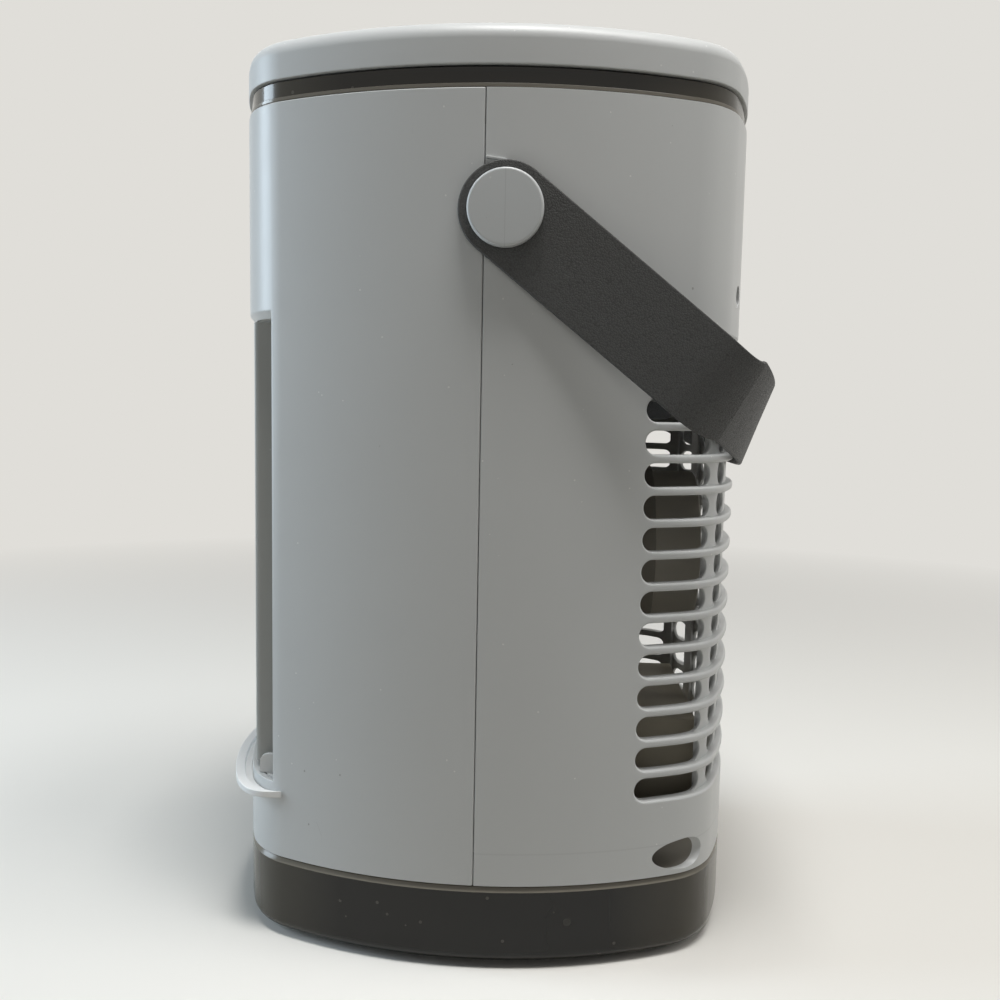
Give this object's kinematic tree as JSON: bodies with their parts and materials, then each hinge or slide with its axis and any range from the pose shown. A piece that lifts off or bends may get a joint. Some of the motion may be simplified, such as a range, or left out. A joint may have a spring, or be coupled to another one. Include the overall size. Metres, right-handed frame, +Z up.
{
  "type": "evaporative tower air cooler",
  "caption": "Portable tower air cooler: coupled outlet vanes, wrap-around rear grille, axial fan, wetted wick, water tank base and a swinging carry strap.",
  "frame": {"origin": "on the floor, under the middle of the whole object's bounding box", "axes": "+Z up, the air outlet faces -Y, the rear grille faces +Y, +X is the side with the pump"},
  "size_m": [0.1872, 0.2362, 0.3589],
  "materials": {
    "shell_white": "satin white ABS",
    "smoke_plastic": "smoke-grey glossy plastic",
    "dark_plastic": "dark satin plastic",
    "motor_metal": "dark coated can",
    "grey_plastic": "grey plastic",
    "strap_leather": "dark grey pebbled leather",
    "foot_rubber": "matte rubber",
    "steel": "zinc-plated steel",
    "wick_paper": "pleated absorbent paper",
    "circuit_board": "green circuit board"
  },
  "bodies": {
    "tank": {"water_tank": "smoke_plastic", "foot_front_right": "foot_rubber", "foot_rear_right": "foot_rubber", "foot_rear_left": "foot_rubber", "foot_front_left": "foot_rubber"},
    "housing": {"front_shell": "shell_white", "rear_shell": "shell_white", "drip_lip": "shell_white", "base_plate": "dark_plastic", "fan_bulkhead": "dark_plastic", "screw_lower_right": "steel", "screw_lower_left": "steel", "screw_upper_right": "steel", "screw_upper_left": "steel", "motor_mount": "dark_plastic", "fan_motor": "motor_metal", "wick_frame": "shell_white", "wick_pad": "wick_paper", "drip_trough": "shell_white", "water_pump": "dark_plastic", "pump_hose": "grey_plastic", "electrics_cover": "dark_plastic", "main_board": "circuit_board", "power_inlet": "dark_plastic", "vane_rail_lower": "shell_white", "vane_rail_upper": "shell_white", "swing_motor": "steel", "upper_deck": "dark_plastic", "light_band": "smoke_plastic", "top_cap": "shell_white", "control_panel": "dark_plastic", "control_board": "circuit_board", "strap_button_right": "shell_white", "strap_bush_right": "grey_plastic", "strap_screw_right": "steel", "strap_button_left": "shell_white", "strap_bush_left": "grey_plastic", "strap_screw_left": "steel"},
    "fan": {"fan_rotor": "grey_plastic", "motor_shaft": "steel"},
    "vane_1": {"vane_1": "grey_plastic"},
    "vane_2": {"vane_2": "grey_plastic"},
    "vane_3": {"vane_3": "grey_plastic", "swing_shaft": "shell_white"},
    "vane_4": {"vane_4": "grey_plastic"},
    "vane_5": {"vane_5": "grey_plastic"},
    "vane_link": {"vane_link": "grey_plastic"},
    "power_key": {"power_key": "shell_white"},
    "speed_key": {"speed_key": "shell_white"},
    "mist_key": {"mist_key": "shell_white"},
    "swing_key": {"swing_key": "shell_white"},
    "carry_strap": {"carry_strap": "strap_leather"}
  },
  "joints": [
    {"name": "housing_lift", "type": "slide", "parent": "tank", "child": "housing", "axis": [0, 0, 1], "range_m": [0, 0.08]},
    {"name": "fan_spin", "type": "hinge", "parent": "housing", "child": "fan", "pos_m": [0, 0.0304, 0.158], "axis": [0, 1, 0], "continuous": true},
    {"name": "vane_swing", "type": "hinge", "parent": "housing", "child": "vane_3", "pos_m": [0, -0.0996, 0.16], "axis": [0, 0, 1], "range_deg": [-30, 30]},
    {"name": "vane_1_swing", "type": "hinge", "parent": "housing", "child": "vane_1", "pos_m": [-0.05, -0.08993, 0.16], "axis": [0, 0, 1], "range_deg": [-30, 30]},
    {"name": "vane_2_swing", "type": "hinge", "parent": "housing", "child": "vane_2", "pos_m": [-0.025, -0.09699, 0.16], "axis": [0, 0, 1], "range_deg": [-30, 30]},
    {"name": "vane_4_swing", "type": "hinge", "parent": "housing", "child": "vane_4", "pos_m": [0.025, -0.09699, 0.16], "axis": [0, 0, 1], "range_deg": [-30, 30]},
    {"name": "vane_5_swing", "type": "hinge", "parent": "housing", "child": "vane_5", "pos_m": [0.05, -0.08993, 0.16], "axis": [0, 0, 1], "range_deg": [-30, 30]},
    {"name": "link_slide", "type": "slide", "parent": "housing", "child": "vane_link", "axis": [1, 0, 0], "range_m": [-0.0043, 0.0043]},
    {"name": "power_key_press", "type": "slide", "parent": "housing", "child": "power_key", "axis": [0, 0, -1], "range_m": [0, 0.0005], "stiffness_N_per_m": 300},
    {"name": "speed_key_press", "type": "slide", "parent": "housing", "child": "speed_key", "axis": [0, 0, -1], "range_m": [0, 0.0005], "stiffness_N_per_m": 300},
    {"name": "mist_key_press", "type": "slide", "parent": "housing", "child": "mist_key", "axis": [0, 0, -1], "range_m": [0, 0.0005], "stiffness_N_per_m": 300},
    {"name": "swing_key_press", "type": "slide", "parent": "housing", "child": "swing_key", "axis": [0, 0, -1], "range_m": [0, 0.0005], "stiffness_N_per_m": 300},
    {"name": "strap_swing", "type": "hinge", "parent": "housing", "child": "carry_strap", "pos_m": [0, 0.0044, 0.2906], "axis": [1, 0, 0], "range_deg": [0, 173]}
  ],
  "couplings": [
    {"joint": "vane_1_swing", "follows": "vane_swing", "ratio": 1},
    {"joint": "vane_2_swing", "follows": "vane_swing", "ratio": 1},
    {"joint": "vane_4_swing", "follows": "vane_swing", "ratio": 1},
    {"joint": "vane_5_swing", "follows": "vane_swing", "ratio": 1},
    {"joint": "link_slide", "follows": "vane_swing", "m_per_rad": -0.008}
  ]
}
